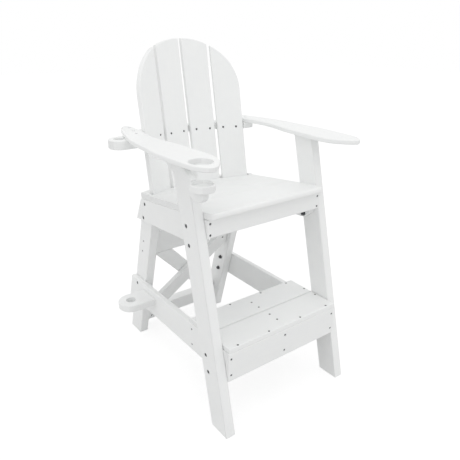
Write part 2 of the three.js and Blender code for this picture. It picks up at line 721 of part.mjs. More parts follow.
// A sloping board on the outside of the front leg, from the arm down and forward to the plate.
function cupStrut() {
  const topLength = STRUT_WIDTH / sine(STRUT_SLOPE);
  const front = cupAlong - STRUT_REACH;
  const shoulder = cupAlong - STRUT_SHOULDER;
  const frontTop = shoulder + (armUnderside(shoulder) - plateFoot) / tangent(STRUT_SLOPE);
  const rearTop = frontTop + topLength;
  const plateRear = plateAlong + PLATE_RADIUS + GAP;
  const toe = front + STRUT_TOE_LENGTH;
  const toeHeight = armUnderside(rearTop) - (rearTop - toe) * tangent(STRUT_SLOPE);
  const shape = new THREE.Shape();
  shape.moveTo(frontTop, armUnderside(frontTop));
  shape.lineTo(rearTop, armUnderside(rearTop));
  shape.lineTo(toe, toeHeight);
  const pull = front + STRUT_TOE_LENGTH * STRUT_TOE_SHARE;
  shape.quadraticCurveTo(pull, toeHeight, front, plateFoot - STRUT_TIP);
  shape.lineTo(front, plateFoot);
  shape.lineTo(plateRear, plateFoot);
  shape.lineTo(plateRear, plateFoot + (plateRear - shoulder) * tangent(STRUT_SLOPE));
  const made = board(shape, LIGHT).applyMatrix4(ON_SIDE);
  return solid(made.translate(outside(-1, SEAT_HALF + HEAVY, LIGHT), 0, 0));
}

// Umbrella holder

// A tab with a round outer end, seen from above, in a frame that starts some way along.
function tabOutline(inner, frameStart, width, reach) {
  const half = width / 2;
  const along = poleAlong - frameStart;
  const shape = new THREE.Shape();
  shape.moveTo(-inner, along - half);
  shape.lineTo(-inner, along + half);
  shape.absarc(half - reach - poleAcross, along, half, radians(90), radians(270));
  return shape;
}

function pole(from, to) {
  return solid(rod(POLE_RADIUS, from, to, HOLE_SIDES).translate(-poleAcross, poleAlong, 0));
}

function umbrellaRing() {
  const shape = tabOutline(SEAT_HALF - RING_INSET, armFront, RING_WIDTH, RING_REACH);
  const made = flatBoard(shape, -RING_THICK, RING_THICK);
  const hole = pole(armFoot - RING_THICK - OVERRUN, armFoot + OVERRUN);
  return solid(made.applyMatrix4(armFrame)).subtract(hole);
}

function umbrellaSocket() {
  const shape = tabOutline(SEAT_HALF, 0, SOCKET_WIDTH, SOCKET_REACH);
  const made = solid(flatBoard(shape, SOCKET_TOP - SOCKET_THICK, SOCKET_THICK));
  return made.subtract(pole(SOCKET_TOP - SOCKET_DEPTH, SOCKET_TOP + OVERRUN));
}

// Rear bracing

// A board between the rear legs, drawn in their plane.
function between(shape, front, thick) {
  return solid(faceBoard(shape, front, thick).applyMatrix4(rearFrame));
}

function crossRail(foot, width, thick) {
  const half = railInner - HEAVY;
  return between(box(-half, foot, half, foot + width), BRACE_PLANE, thick);
}

// A sloping brace that ends on the legs, and on two heights where it lies between the cross rails.
function brace(slope, centre, width, front, low, high) {
  const half = railInner - HEAVY;
  const rise = half * tangent(slope);
  const reach = width / cosine(slope) / 2;
  const strip = outline([
    [-half, centre - rise - reach], [half, centre + rise - reach],
    [half, centre + rise + reach], [-half, centre - rise + reach],
  ]);
  const opening = box(-half - OVERRUN, low, half + OVERRUN, high);
  const window = between(opening, front - OVERRUN, OVERRUN + OVERRUN + LIGHT);
  return between(strip, front, LIGHT).intersect(window);
}

function bracing() {
  const lowest = LOWER_CROSS_FOOT;
  const highest = UPPER_CROSS_FOOT + UPPER_CROSS_WIDTH;
  const lowerTop = LOWER_CROSS_FOOT + LOWER_CROSS_WIDTH + GAP;
  const upperFoot = UPPER_CROSS_FOOT - GAP;
  return [
    piece("upper_cross_rail", crossRail(UPPER_CROSS_FOOT, UPPER_CROSS_WIDTH, LIGHT)),
    piece("lower_cross_rail", crossRail(LOWER_CROSS_FOOT, LOWER_CROSS_WIDTH, HEAVY)),
    piece("front_brace", brace(
      FRONT_BRACE_SLOPE, FRONT_BRACE_CENTRE, FRONT_BRACE_WIDTH, BRACE_PLANE - LIGHT - GAP, lowest, highest,
    )),
    piece("rear_brace", brace(
      -REAR_BRACE_SLOPE, REAR_BRACE_CENTRE, REAR_BRACE_WIDTH, BRACE_PLANE, lowerTop, upperFoot,
    )),
  ];
}

// The whole chair

function group(meshes) {
  const made = new THREE.Group();
  made.add(...meshes);
  return made;
}

const cupHolder = [piece("cup_holder_plate", cupPlate()), piece("cup_holder_strut", cupStrut())];
const umbrellaHolder = [
  piece("umbrella_ring", screwed(umbrellaRing())),
  piece("umbrella_socket", umbrellaSocket()),
];
const chair = new THREE.Group();
chair.add(
  group(sideFrames()), group(step()), group(seat()), group(back()), group(arms()),
  group(cupHolder), group(umbrellaHolder), group(bracing()), group(bolts()),
);
const whole = new THREE.Box3().setFromObject(chair);
const middle = whole.getCenter(new THREE.Vector3());
chair.position.set(-middle.x, -middle.y, -whole.min.z);
chair.updateMatrixWorld(true);

export default chair;
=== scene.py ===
# %% [markdown]
# # A lifeguard chair in white recycled plastic
#
# The real chair is cut from extruded boards of recycled plastic, bolted and screwed together. The
# boards are already here as solids, at their true size and place. What they lack is what the eye
# reads as a made thing: softened edges, sunk holes with dark screw heads in them, a drawn and
# faintly mottled surface, sawn ends, and light.
#
# The script goes from the camera to the finishes, then the fasteners, then the boards one by one,
# and last the studio. Everything is in metres, in the frame that the solids came in.

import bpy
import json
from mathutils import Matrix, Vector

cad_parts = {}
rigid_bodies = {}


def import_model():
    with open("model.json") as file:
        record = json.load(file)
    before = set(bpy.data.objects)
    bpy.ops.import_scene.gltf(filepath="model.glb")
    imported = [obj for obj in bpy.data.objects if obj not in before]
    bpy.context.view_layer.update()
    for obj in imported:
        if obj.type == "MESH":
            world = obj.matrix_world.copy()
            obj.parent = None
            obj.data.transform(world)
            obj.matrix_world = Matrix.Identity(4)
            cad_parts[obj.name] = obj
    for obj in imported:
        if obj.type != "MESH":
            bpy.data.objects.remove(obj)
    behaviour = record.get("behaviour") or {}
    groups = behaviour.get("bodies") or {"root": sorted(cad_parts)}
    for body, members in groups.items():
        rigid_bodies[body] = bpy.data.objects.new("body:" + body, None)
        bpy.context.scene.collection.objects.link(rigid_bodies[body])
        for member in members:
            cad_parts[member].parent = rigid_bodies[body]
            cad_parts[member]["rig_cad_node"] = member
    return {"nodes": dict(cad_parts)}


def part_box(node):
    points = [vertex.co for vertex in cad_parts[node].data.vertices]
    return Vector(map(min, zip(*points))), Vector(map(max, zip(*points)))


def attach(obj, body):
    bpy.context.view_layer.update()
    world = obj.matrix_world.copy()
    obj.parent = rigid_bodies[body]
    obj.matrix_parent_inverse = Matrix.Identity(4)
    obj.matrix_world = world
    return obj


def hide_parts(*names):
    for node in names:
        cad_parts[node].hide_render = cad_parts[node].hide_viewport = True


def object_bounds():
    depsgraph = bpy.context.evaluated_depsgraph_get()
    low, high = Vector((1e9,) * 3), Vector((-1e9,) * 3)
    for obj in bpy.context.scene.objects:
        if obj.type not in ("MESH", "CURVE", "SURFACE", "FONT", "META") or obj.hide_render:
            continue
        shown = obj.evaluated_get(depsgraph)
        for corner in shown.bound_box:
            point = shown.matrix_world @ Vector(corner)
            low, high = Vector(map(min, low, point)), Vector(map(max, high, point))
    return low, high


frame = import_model()
cad_low, cad_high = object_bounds()
print("solids:", len(frame["nodes"]), "box:", [round(v, 4) for v in (*cad_low, *cad_high)])

# %% Tools used all through
import json
import math

import bpy
import numpy as np
from mathutils import Matrix, Quaternion, Vector

MM = 0.001


def choose(*pieces):
    """Leaves edit mode and then only these objects selected, the first of them active."""
    if bpy.context.mode != "OBJECT":
        bpy.ops.object.mode_set(mode="OBJECT")
    bpy.ops.object.select_all(action="DESELECT")
    for one in pieces:
        one.select_set(True)
    bpy.context.view_layer.objects.active = pieces[0]


choose(frame["nodes"]["front_leg_right"])
print("one board selected:", bpy.context.active_object.name)

# %% [markdown]
# ## Where the chair stands
#
# The screws are placed as a carpenter would mark them: so far from the middle of the chair, so far
# behind the front of the front feet, so far above the ground. Both zero lines are read from the
# front legs, so the marks hold wherever the chair stands.

# %% Marks on the chair
right_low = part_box("front_leg_right")[0]
left_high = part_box("front_leg_left")[1]
MIDDLE = (right_low.x + left_high.x) / 2
FRONT = right_low.y


def mark(across, along, height):
    """A place in millimetres from the chair's middle, its front feet and the ground."""
    return Vector((MIDDLE + across * MM, FRONT + along * MM, height * MM))


print("middle at x", round(MIDDLE, 4), "front feet at y", round(FRONT, 4))

# %% [markdown]
# ## Camera
#
# The photograph looks down on the chair from its front right corner. The eye's place was worked out
# from straight edges of the legs and rails, whose real directions are known, so it is given as a
# mark on the chair too. The small shift puts the optical centre where it lies in the picture.

# %% Camera
PICTURE = 460
LENS_PIXELS = 490.42
OPTICAL_CENTRE = (219.3, 224.5)
SENSOR = 36
EYE = (-1061.8, -1023.0, 1294.6)
LOOKS_DOWN = 21.63
TURNED_RIGHT = 35.911

camera_data = bpy.data.cameras.new("studio_camera")
camera_data.sensor_width = SENSOR
camera_data.lens = LENS_PIXELS / PICTURE * SENSOR
camera_data.shift_x = (PICTURE / 2 - OPTICAL_CENTRE[0]) / PICTURE
camera_data.shift_y = (OPTICAL_CENTRE[1] - PICTURE / 2) / PICTURE
camera = bpy.data.objects.new("studio_camera", camera_data)
bpy.context.scene.collection.objects.link(camera)
camera.location = mark(*EYE)
camera.rotation_euler = (math.radians(90 - LOOKS_DOWN), 0, math.radians(-TURNED_RIGHT))
bpy.context.scene.camera = camera
print("lens", round(camera_data.lens, 2), "mm, eye at", [round(v, 3) for v in camera.location])

# %% [markdown]
# ## Materials
#
# One small helper adds a node with its settings and links, and one turns a written sRGB colour into
# the linear values that the shader works with.

# %% Material helpers
def linear(code):
    """An sRGB hex colour as linear red, green, blue and alpha."""
    parts = [int(code[i:i + 2], 16) / 255 for i in (1, 3, 5)]
    return [c / 12.92 if c <= 0.04045 else ((c + 0.055) / 1.055) ** 2.4 for c in parts] + [1]


def new_material(name):
    """An empty node material and its tree."""
    material = bpy.data.materials.new(name)
    material.use_nodes = True
    material.node_tree.nodes.clear()
    return material, material.node_tree


def add(tree, kind, settings=None, **inputs):
    """Adds a node. An input is a value, or a socket to link from; a number in its name is its index."""
    node = tree.nodes.new(kind)
    for name, value in (settings or {}).items():
        setattr(node, name, value)
    for name, value in inputs.items():
        socket = node.inputs[int(name[1:])] if name[0] == "i" and name[1:].isdigit() else node.inputs[name]
        if isinstance(value, bpy.types.NodeSocket):
            tree.links.new(value, socket)
        else:
            socket.default_value = value
    return node


print("white #f2f3f2 is", [round(c, 3) for c in linear("#f2f3f2")[:3]], "in linear light")

# %% [markdown]
# ### Recycled plastic board
#
# The boards are high-density polyethylene from milk bottles and the like, melted and drawn through
# a die. The eye gets a clean, slightly cold white that is neither glossy nor chalky. Only close by
# does it see long faint streaks along the board, thin clouds a few centimetres across, and a fine
# skin where the hot board ran over the die. Sawn ends show the blade's marks.
#
# The streaks have to follow each board, and the boards lean in a dozen directions. So each board
# carries its own coordinates, stored on its points as "run": along the board, across it and through
# it. One material reads them, and every board is streaked along its own length.

# %% Recycled plastic board
def board_plastic():
    material, tree = new_material("drawn_recycled_polyethylene")
    run = add(tree, "ShaderNodeAttribute", {"attribute_name": "run"}).outputs["Vector"]
    batch = add(tree, "ShaderNodeAttribute", {"attribute_name": "batch"}).outputs["Fac"]
    sawn = add(tree, "ShaderNodeAttribute", {"attribute_name": "sawn"}).outputs["Fac"]

    # Streaks 3 mm wide and about 100 mm long, and finer ones 1 mm wide.
    long_run = add(tree, "ShaderNodeMapping", Vector=run, Scale=(10, 330, 330)).outputs[0]
    streaks = add(tree, "ShaderNodeTexNoise",
                  Vector=long_run, Scale=1.0, Detail=4.0, Roughness=0.6).outputs[0]
    fine_run = add(tree, "ShaderNodeMapping", Vector=run, Scale=(30, 1000, 1000)).outputs[0]
    hairs = add(tree, "ShaderNodeTexNoise", Vector=fine_run, Scale=1.0, Detail=2.0, Roughness=0.5).outputs[0]
    # Clouds of 40 mm in the melt.
    clouds = add(tree, "ShaderNodeTexNoise", Vector=run, Scale=25.0, Detail=3.0, Roughness=0.55).outputs[0]
    # A skin of 2 mm dimples, drawn coarser than the real half millimetre so that it shows.
    skin = add(tree, "ShaderNodeTexNoise", Vector=run, Scale=500.0, Detail=2.0, Roughness=0.5).outputs[0]
    # The saw's marks lie 2 mm apart across the ends.
    saw = add(tree, "ShaderNodeTexWave", {"wave_type": "BANDS", "bands_direction": "Y"},
              Vector=run, Scale=160.0, Distortion=2.5, Detail=2.0).outputs["Fac"]
    # Flecks of other bottles, under a millimetre across and few.
    cells = add(tree, "ShaderNodeTexVoronoi", Vector=run, Scale=130.0, Randomness=1.0).outputs["Distance"]
    flecks = add(tree, "ShaderNodeMapRange", Value=cells, i1=0.035, i2=0.065, i3=1.0, i4=0.0).outputs[0]

    # The colour: streaks, clouds and batch between two whites, then the ends, then the flecks.
    tone = add(tree, "ShaderNodeMath", {"operation": "ADD"}, i0=streaks, i1=clouds).outputs[0]
    shade = add(tree, "ShaderNodeMath", {"operation": "ADD"}, i0=tone, i1=batch).outputs[0]
    spread = add(tree, "ShaderNodeMapRange", Value=shade, i1=0.6, i2=1.4).outputs[0]
    white = add(tree, "ShaderNodeMix", {"data_type": "RGBA"}, i0=spread,
                i6=linear("#f1f2f2"), i7=linear("#f4f5f4")).outputs[2]
    sawn_white = add(tree, "ShaderNodeMix", {"data_type": "RGBA"}, i0=saw,
                     i6=linear("#eaebeb"), i7=linear("#f1f2f1")).outputs[2]
    ended = add(tree, "ShaderNodeMix", {"data_type": "RGBA"}, i0=sawn, i6=white, i7=sawn_white).outputs[2]
    flecked = add(tree, "ShaderNodeMix", {"data_type": "RGBA"},
                  i0=flecks, i6=ended, i7=linear("#dcdddd")).outputs[2]

    # Streaks and sawn ends are duller, and the relief is of streaks, hairs and skin, or of the saw.
    matt = add(tree, "ShaderNodeMath", {"operation": "MULTIPLY_ADD"}, i0=streaks, i1=0.22, i2=0.33).outputs[0]
    dull = add(tree, "ShaderNodeMath", {"operation": "MULTIPLY_ADD"}, i0=sawn, i1=0.18, i2=matt).outputs[0]
    drawn = add(tree, "ShaderNodeMath", {"operation": "MULTIPLY_ADD"},
                i0=hairs, i1=0.5, i2=streaks).outputs[0]
    skinned = add(tree, "ShaderNodeMath", {"operation": "MULTIPLY_ADD"},
                  i0=skin, i1=0.45, i2=drawn).outputs[0]
    height = add(tree, "ShaderNodeMix", {"data_type": "FLOAT"}, i0=sawn, i2=skinned, i3=saw).outputs[0]
    bump = add(tree, "ShaderNodeBump", Height=height, Strength=0.15, Distance=0.0003).outputs[0]

    surface = add(tree, "ShaderNodeBsdfPrincipled", **{
        "Base Color": flecked, "Roughness": dull, "IOR": 1.54, "Normal": bump,
    })
    add(tree, "ShaderNodeOutputMaterial", Surface=surface.outputs[0])
    return material


BOARD = board_plastic()
print(BOARD.name, "nodes:", len(BOARD.node_tree.nodes))

# %% [markdown]
# ### Stainless steel with painted shade
#
# Bolts and screws on pool furniture are stainless steel. They were cold headed, so they are smooth
# but not polished. Their colour here is a dark grey, far darker than the bare metal: it paints the
# shade that falls into their sunk holes, so that they read almost black against the white board.
# Patches of tarnish vary it a little. The eye gets small dark metallic dots with a soft glint.

# %% Stainless steel with painted shade
def shade_darkened_steel():
    material, tree = new_material("stainless_steel_with_painted_shade")
    place = add(tree, "ShaderNodeTexCoord").outputs["Object"]
    # Tarnish in patches of 3 mm over grain of half a millimetre.
    tarnish = add(tree, "ShaderNodeTexNoise",
                  Vector=place, Scale=330.0, Detail=4.0, Roughness=0.65).outputs[0]
    grain = add(tree, "ShaderNodeTexNoise", Vector=place, Scale=2000.0, Detail=2.0).outputs[0]
    dark = add(tree, "ShaderNodeMapRange", Value=tarnish, i1=0.35, i2=0.65).outputs[0]
    # Both greys are painted shade, far darker than bare steel, standing for the shade in the sunk holes;
    # tarnish patches mix them.
    colour = add(tree, "ShaderNodeMix", {"data_type": "RGBA"}, i0=dark,
                 i6=linear("#4d4e50"), i7=linear("#6f7072")).outputs[2]
    rough = add(tree, "ShaderNodeMapRange", Value=tarnish, i1=0.3, i2=0.7, i3=0.52, i4=0.32).outputs[0]
    bump = add(tree, "ShaderNodeBump", Height=grain, Strength=0.3, Distance=0.0001).outputs[0]
    surface = add(tree, "ShaderNodeBsdfPrincipled", **{
        "Base Color": colour, "Metallic": 1.0, "Roughness": rough, "Normal": bump,
    })
    add(tree, "ShaderNodeOutputMaterial", Surface=surface.outputs[0])
    return material


STEEL = shade_darkened_steel()
print(STEEL.name, "nodes:", len(STEEL.node_tree.nodes))

# %% [markdown]
# ## Fasteners
#
# Sixteen bolts hold the legs to the rails, and wood screws hold the rest. They all sit in sunk
# holes, because a proud head on a pool deck cuts bare feet. Each kind is modelled once, standing on
# the origin with its head up and the board's face at zero, and then copied to its places.
#
# A modelled head beats a dark disc: the rim catches light and the drive socket stays black.

# %% Shapes
def fill_in(piece, material):
    """Gives a piece this material and no other."""
    piece.data.materials.clear()
    piece.data.materials.append(material)


def settle():
    """Puts the selected objects' place, turn and size into their meshes."""
    bpy.ops.object.transform_apply(location=True, rotation=True, scale=True)


def cylinder(radius, low, high, sides):
    """A capped cylinder on the Z axis, sizes in millimetres."""
    bpy.ops.object.select_all(action="DESELECT")
    bpy.ops.mesh.primitive_cylinder_add(
        vertices=sides, radius=radius * MM, depth=(high - low) * MM, location=(0, 0, (low + high) / 2 * MM))
    settle()
    return bpy.context.active_object


def apply_modifier(piece, kind, **settings):
    """Adds a modifier with these settings and applies it."""
    choose(piece)
    modifier = piece.modifiers.new(kind.title(), kind)
    for name, value in settings.items():
        setattr(modifier, name, value)
    bpy.ops.object.modifier_apply(modifier=modifier.name)


print("a cylinder's sizes are given in units of", MM, "m")

# %% Picking faces
# A face looks up or down if its normal points at least this far that way, of 1.
FACING = 0.9


def looks_up(normal):
    return normal.z > FACING


def looks_down(normal):
    return normal.z < -FACING


def looks_up_or_down(normal):
    return looks_up(normal) or looks_down(normal)


def pick_faces(piece, test):
    """Goes into edit mode with the faces selected whose normal passes the test."""
    choose(piece)
    bpy.ops.object.mode_set(mode="EDIT")
    bpy.ops.mesh.select_mode(type="FACE")
    bpy.ops.mesh.select_all(action="DESELECT")
    bpy.ops.object.mode_set(mode="OBJECT")
    for face in piece.data.polygons:
        face.select = test(face.normal)
    bpy.ops.object.mode_set(mode="EDIT")


def bevel_faces(piece, test, width, segments):
    """Bevels the rims of the faces that pass the test, the width in millimetres."""
    pick_faces(piece, test)
    bpy.ops.mesh.bevel(offset=width * MM, segments=segments)
    bpy.ops.object.mode_set(mode="OBJECT")


print("a face looks up or down within", round(math.degrees(math.acos(FACING))), "degrees of the axis")

# %% Cutting and joining
# Edges of a fastener that turn by less than this many degrees are shaded smooth.
ROUND_TURN = 35


def remove(*pieces):
    for one in pieces:
        bpy.data.objects.remove(one)


def cut(piece, tool, operation="DIFFERENCE"):
    """Cuts a piece with a tool, or keeps what the two share, and takes the tool away."""
    apply_modifier(piece, "BOOLEAN", operation=operation, solver="EXACT", object=tool)
    remove(tool)


def join_as(name, pieces):
    """Joins the pieces to one with this name, and returns it."""
    choose(*pieces)
    if len(pieces) > 1:
        bpy.ops.object.join()
    pieces[0].name = name
    return pieces[0]


def in_steel(model):
    """Gives a fastener its steel and its smooth rounds."""
    fill_in(model, STEEL)
    choose(model)
    bpy.ops.object.shade_smooth_by_angle(angle=math.radians(ROUND_TURN))
    return model


print("the rounds of a fastener are smooth up to", ROUND_TURN, "degrees")

# %% [markdown]
# The screw has a flat pan head with a cross drive. The head is a cylinder whose top rim is
# bevelled. Two thin crossed blocks, narrowed towards their feet, cut the drive. Sizes are in
# millimetres, and depths are counted from the board's face.

# %% Screw
SCREW_HEAD = 3.8
SCREW_SUNK = 1.2
SCREW_FLOOR = 4.0
SCREW_RIM = 0.8
SCREW_SHANK = 2.3
SCREW_LENGTH = 14
SCREW_TIP = 4
TIP_SHARE = 0.25
DRIVE_ACROSS = 4.4
DRIVE_BLADE = 1.0
DRIVE_DEEP = 3.6
DRIVE_FOOT_SHARES = (0.35, 0.8)


def cut_cross_drive(head):
    """Cuts the cross, whose two blades get narrower with depth."""
    along, across = DRIVE_FOOT_SHARES
    for turn, foot in ((0, (along, across, 1)), (90, (across, along, 1))):
        bpy.ops.object.select_all(action="DESELECT")
        bpy.ops.mesh.primitive_cube_add(size=1, location=(0, 0, -SCREW_SUNK * MM))
        blade = bpy.context.active_object
        blade.scale = (DRIVE_ACROSS * MM, DRIVE_BLADE * MM, DRIVE_DEEP * MM)
        blade.rotation_euler.z = math.radians(turn)
        settle()
        pick_faces(blade, looks_down)
        bpy.ops.transform.resize(value=foot)
        bpy.ops.object.mode_set(mode="OBJECT")
        cut(head, blade)


def screw_model():
    head = cylinder(SCREW_HEAD, -SCREW_FLOOR, -SCREW_SUNK, sides=24)
    bevel_faces(head, looks_up, SCREW_RIM, segments=3)
    pick_faces(head, looks_down)
    bpy.ops.mesh.inset(thickness=(SCREW_HEAD - SCREW_SHANK) * MM)
    for length in (SCREW_LENGTH, SCREW_TIP):
        bpy.ops.mesh.extrude_region_move(TRANSFORM_OT_translate={"value": (0, 0, -length * MM)})
    bpy.ops.transform.resize(value=(TIP_SHARE, TIP_SHARE, 1))
    bpy.ops.object.mode_set(mode="OBJECT")
    cut_cross_drive(head)
    return in_steel(join_as("screw_model", [head]))


SCREW = screw_model()
print("screw:", len(SCREW.data.polygons), "faces,", [round(v / MM, 1) for v in SCREW.dimensions], "mm")

# %% [markdown]
# The bolt has a button head with a hexagonal socket, a washer and a nut on the far side of the two
# boards. The head starts as a cylinder, and a wide bevel of its top rim makes the low dome. The nut
# is a six-sided cylinder with its corners turned off, as on a lathe. Heights are counted from the
# board's face. What lies beyond the grip is counted from there.

# %% Bolt
BOLT_HEAD = 6.5
BOLT_TOP = -0.7
BOLT_SEAT = -5.7
BOLT_DOME = 2.2
BOLT_GRIP = 60.3
BOLT_SHANK = 4.0
BOLT_END = 10.6
BOLT_POINT = 0.9
SOCKET_RADIUS = 2.5
SOCKET_DEEP = 2.8
SOCKET_CLEAR = 2
WASHER_RADIUS = 9.0
WASHER_THICK = 1.6
WASHER_EDGE = 0.35
NUT_RADIUS = 7.5
NUT_FOOT = 8.1
NUT_DOME = 2.0
LATHE_RADIUS = 7.35
LATHE_FROM, LATHE_TO = 9.0, 1.0


def bolt_head():
    head = cylinder(BOLT_HEAD, BOLT_SEAT, BOLT_TOP, sides=40)
    bevel_faces(head, looks_up, BOLT_DOME, segments=5)
    cut(head, cylinder(SOCKET_RADIUS, BOLT_TOP - SOCKET_DEEP, BOLT_TOP + SOCKET_CLEAR, sides=6))
    return head


def bolt_shank():
    shank = cylinder(BOLT_SHANK, -BOLT_GRIP - BOLT_END, BOLT_SEAT, sides=24)
    bevel_faces(shank, looks_down, BOLT_POINT, segments=2)
    return shank


def bolt_washer():
    washer = cylinder(WASHER_RADIUS, -BOLT_GRIP - WASHER_THICK, -BOLT_GRIP, sides=40)
    bevel_faces(washer, looks_up_or_down, WASHER_EDGE, segments=2)
    return washer


def bolt_nut():
    nut = cylinder(NUT_RADIUS, -BOLT_GRIP - NUT_FOOT, -BOLT_GRIP - WASHER_THICK, sides=6)
    turned = cylinder(LATHE_RADIUS, -BOLT_GRIP - LATHE_FROM, -BOLT_GRIP - LATHE_TO, sides=40)
    bevel_faces(turned, looks_down, NUT_DOME, segments=3)
    cut(nut, turned, "INTERSECT")
    return nut


BOLT = in_steel(join_as("bolt_model", [bolt_head(), bolt_shank(), bolt_washer(), bolt_nut()]))
print("bolt:", len(BOLT.data.polygons), "faces,", [round(v / MM, 1) for v in BOLT.dimensions], "mm")

# %% [markdown]
# The hole for each fastener is cut by a stepped cutter: a wide sunk part for the head, which flares
# at the top so that the rim of the hole is broken, and a narrow part for the shank. These are tools
# and not pieces, so they are deleted after use.

# %% Hole cutters
# A cutter stands this far out of the board, and a screw's head stops just short of its hole's floor.
CUTTER_RISE = 8
HEAD_FLOOR = SCREW_FLOOR + 0.1


def stepped_cutter(name, wide, floor, narrow, foot, rim, sides):
    """A cutter that is wide down to the floor and narrow down to the foot, and flares over the rim."""
    cutter = cylinder(wide, -floor, -rim, sides)
    pick_faces(cutter, looks_up)
    bpy.ops.mesh.extrude_region_move(TRANSFORM_OT_translate={"value": (0, 0, rim * MM)})
    bpy.ops.transform.resize(value=((wide + rim) / wide, (wide + rim) / wide, 1))
    bpy.ops.mesh.extrude_region_move(TRANSFORM_OT_translate={"value": (0, 0, CUTTER_RISE * MM)})
    pick_faces(cutter, looks_down)
    bpy.ops.mesh.inset(thickness=(wide - narrow) * MM)
    bpy.ops.mesh.extrude_region_move(TRANSFORM_OT_translate={"value": (0, 0, -(foot - floor) * MM)})
    bpy.ops.object.mode_set(mode="OBJECT")
    cutter.name = name
    return cutter


SCREW_CUTTER = stepped_cutter(
    "screw_cutter", wide=4.2, floor=HEAD_FLOOR, narrow=2.6, foot=21, rim=0.6, sides=24)
ARM_CUTTER = stepped_cutter(
    "arm_screw_cutter", wide=5, floor=HEAD_FLOOR, narrow=3.6, foot=17, rim=0.9, sides=24)
BOLT_CUTTER = stepped_cutter(
    "bolt_cutter", wide=6.95, floor=6.1, narrow=5.4, foot=63, rim=1, sides=32)
print("cutters:", SCREW_CUTTER.name, ARM_CUTTER.name, BOLT_CUTTER.name)

# %% Copies at their places
def copy_to(model, name, point, normal, turn=0):
    """A copy of a model with its own mesh, standing on a point of a board's face."""
    made = model.copy()
    made.data = model.data.copy()
    made.name = name
    bpy.context.scene.collection.objects.link(made)
    facing = Vector(normal).to_track_quat("Z", "Y") @ Quaternion((0, 0, 1), math.radians(turn))
    made.matrix_world = Matrix.Translation(point) @ facing.to_matrix().to_4x4()
    choose(made)
    settle()
    return made


print("copies are made with their own meshes")

# %% [markdown]
# ## Boards
#
# Each board begins as a copy of its solid, because its size and cuts are right to the millimetre.
# The copy is merged, and its flat faces are made whole again. A small bevel goes round every edge,
# as a router and years of hands leave them. Then the sunk holes are cut with their broken rims.
# Weighted normals keep the wide faces flat and let only the edges turn.
#
# The longest straight edge of a board tells which way it was drawn. Boards with a curved outline
# have none, so their longest side is taken. Each board's grain starts elsewhere, and its tone swings
# a little, so that no two boards are alike.

# %% Which way a board runs
STRAIGHT_SHARE = 0.4
SAWN_FACING = 0.8
NEXT_BOARD = (3.1, 1.7, 0.9)
BATCH_SWING = 0.06
BATCH_STEP = 2.4


def board_axes(piece):
    """Three unit vectors: along the board, across it and through it."""
    mesh = piece.data
    points = np.array([v.co for v in mesh.vertices])
    ends = np.array([e.vertices for e in mesh.edges])
    spans = points[ends[:, 1]] - points[ends[:, 0]]
    lengths = np.linalg.norm(spans, axis=1)
    size = points.max(0) - points.min(0)
    along = spans[lengths.argmax()] / lengths.max()
    if lengths.max() < STRAIGHT_SHARE * size.max():
        along = np.eye(3)[size.argmax()]
    widest = max(mesh.polygons, key=lambda f: f.area * (1 - abs(f.normal.dot(Vector(along)))))
    through = np.array(widest.normal)
    through = through - along * (through @ along)
    through = through / np.linalg.norm(through)
    return along, np.cross(through, along), through


def store(mesh, name, kind, domain, values):
    """Stores a value for each point or face, under the name that the material reads."""
    field = "vector" if kind == "FLOAT_VECTOR" else "value"
    mesh.attributes.new(name, kind, domain).data.foreach_set(field, values.astype(np.float32).ravel())


def write_grain(piece, axes, number):
    """Stores each point's place along the board, which faces are sawn ends, and the board's tone."""
    mesh = piece.data
    axes = np.array(axes)
    points = np.array([v.co for v in mesh.vertices])
    middle = (points.max(0) + points.min(0)) / 2
    run = (points - middle) @ axes.T + np.array(NEXT_BOARD) * number
    normals = np.array([f.normal for f in mesh.polygons])
    tone = BATCH_SWING * math.sin(BATCH_STEP * number)
    store(mesh, "run", "FLOAT_VECTOR", "POINT", run)
    store(mesh, "sawn", "FLOAT", "FACE", np.abs(normals @ axes[0]) > SAWN_FACING)
    store(mesh, "batch", "FLOAT", "POINT", np.full(len(points), tone))


print("a board's run follows a straight edge of", STRAIGHT_SHARE, "of its length or more")

# %% Finishing a board
# The edge's width and the merging distance are in millimetres, and both turns in degrees.
SOFT_EDGE = 0.6
EDGE_TURN = 32
MERGE = 0.01
FLAT_TURN = 0.3


def whole_copy(node):
    """A merged copy of a solid, with its flat faces whole."""
    source = frame["nodes"][node]
    made = source.copy()
    made.data = source.data.copy()
    del made["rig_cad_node"]
    made.name = node + "_board"
    bpy.context.scene.collection.objects.link(made)
    choose(made)
    bpy.ops.object.mode_set(mode="EDIT")
    bpy.ops.mesh.select_all(action="SELECT")
    bpy.ops.mesh.remove_doubles(threshold=MERGE * MM)
    bpy.ops.mesh.dissolve_limited(angle_limit=math.radians(FLAT_TURN))
    bpy.ops.object.mode_set(mode="OBJECT")
    return made


def cut_holes(board, cutter, places):
    """Cuts one hole at each place, given as a point on the face and the face's normal."""
    tools = [copy_to(cutter, "tool", point, normal) for point, normal in places]
    cut(board, join_as("tool", tools))


def soften(board):
    """Rounds all edges that turn more than a little."""
    apply_modifier(board, "BEVEL", width=SOFT_EDGE * MM, segments=2, limit_method="ANGLE",
                   angle_limit=math.radians(EDGE_TURN), use_clamp_overlap=False, loop_slide=False)


def shade(board):
    """Keeps wide faces flat to the eye and lets the narrow ones between them turn."""
    choose(board)
    bpy.ops.object.shade_smooth_by_angle(angle=math.radians(EDGE_TURN))
    apply_modifier(board, "WEIGHTED_NORMAL", keep_sharp=True, weight=100, thresh=0.001)


def face_under(board, start, direction):
    """The point and normal of the board's face that a straight line from start meets."""
    hit, point, normal, _ = board.ray_cast(start, direction)
    if not hit:
        raise SystemExit(f"{board.name}: no face in the way from {tuple(start)}")
    return point, normal


print("edges are rounded by", SOFT_EDGE, "mm")

# %% [markdown]
# ### Where the screws go
#
# Screws go where one board crosses the end of another: two where a rail's end is behind an apron,
# a row along each edge of a step plank, a column down the middle of the step, and a pair in each
# back slat. Each is given as the mark where a drill would start and the way it points, and the
# board's own face decides where it lands.

